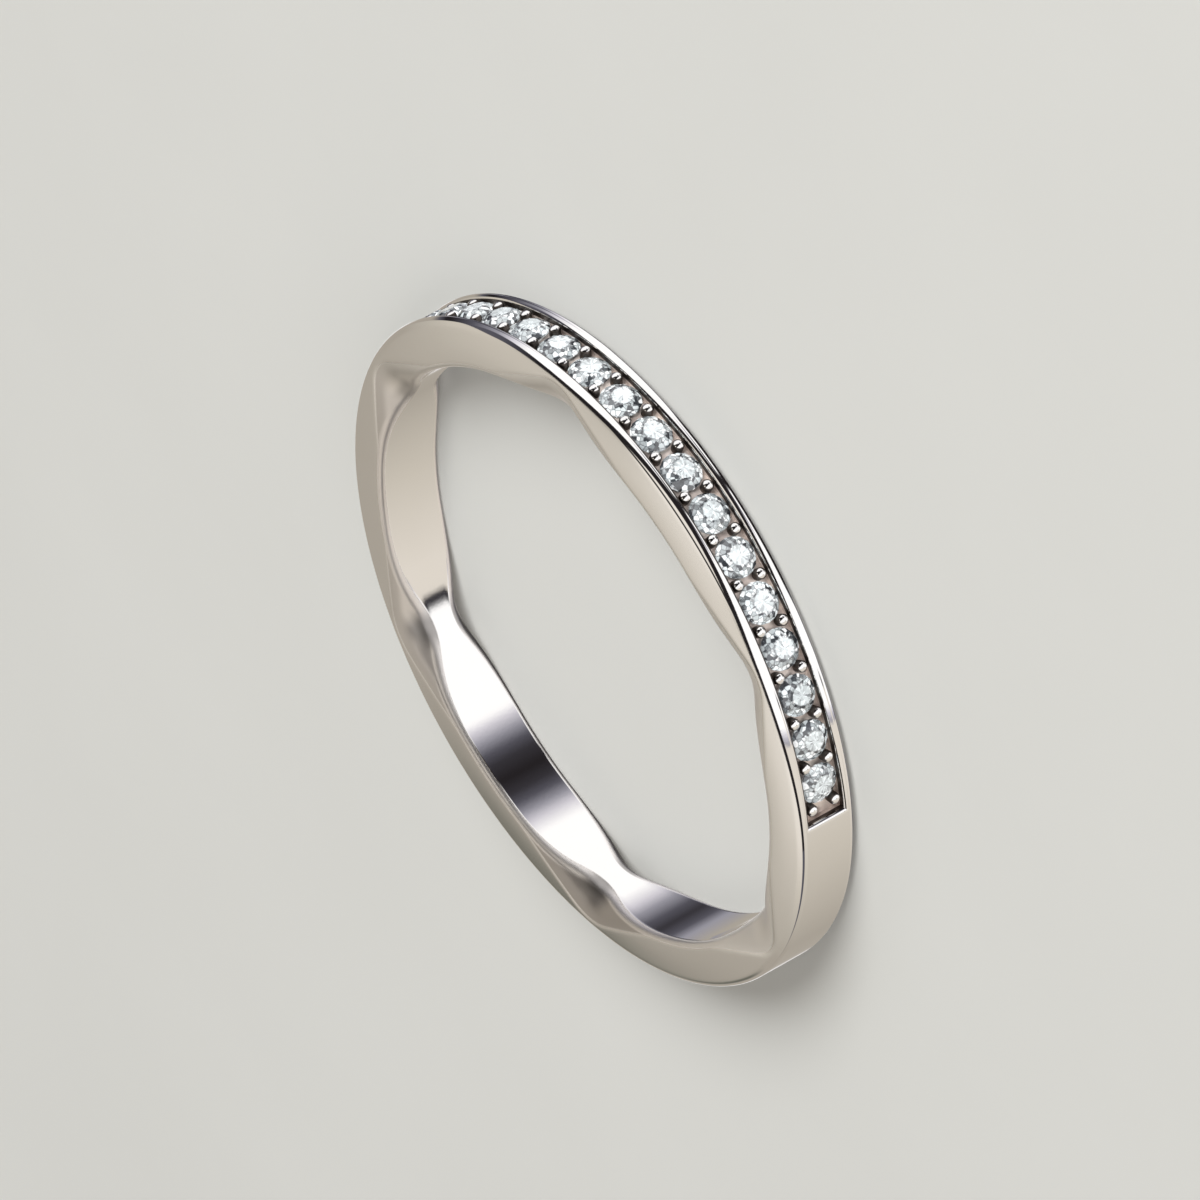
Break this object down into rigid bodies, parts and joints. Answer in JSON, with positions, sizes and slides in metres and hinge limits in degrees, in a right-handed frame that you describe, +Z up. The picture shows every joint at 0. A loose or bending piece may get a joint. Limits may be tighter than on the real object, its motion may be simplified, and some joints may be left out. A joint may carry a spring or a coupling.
{
  "type": "half eternity ring",
  "caption": "Narrow polished ring with a channel of small round cut stones along half of its rim and a bore pinched at even steps.",
  "frame": {"origin": "on the ring's axis, in the plane of its lower side face, on which it lies", "axes": "+Z up along the ring's axis, -Y towards the middle of the stone row, +X to the right of it seen from outside"},
  "size_m": [0.0192, 0.0192, 0.0019],
  "materials": {
    "polished_metal": "polished white precious metal, softer on the side faces",
    "clear_stone": "clear faceted brilliant"
  },
  "bodies": {
    "root": {"band": "polished_metal", "stone_01": "clear_stone", "stone_02": "clear_stone", "stone_03": "clear_stone", "stone_04": "clear_stone", "stone_05": "clear_stone", "stone_06": "clear_stone", "stone_07": "clear_stone", "stone_08": "clear_stone", "stone_09": "clear_stone", "stone_10": "clear_stone", "stone_11": "clear_stone", "stone_12": "clear_stone", "stone_13": "clear_stone", "stone_14": "clear_stone", "stone_15": "clear_stone", "stone_16": "clear_stone", "stone_17": "clear_stone", "stone_18": "clear_stone", "stone_19": "clear_stone", "stone_20": "clear_stone", "stone_21": "clear_stone"}
  },
  "joints": []
}
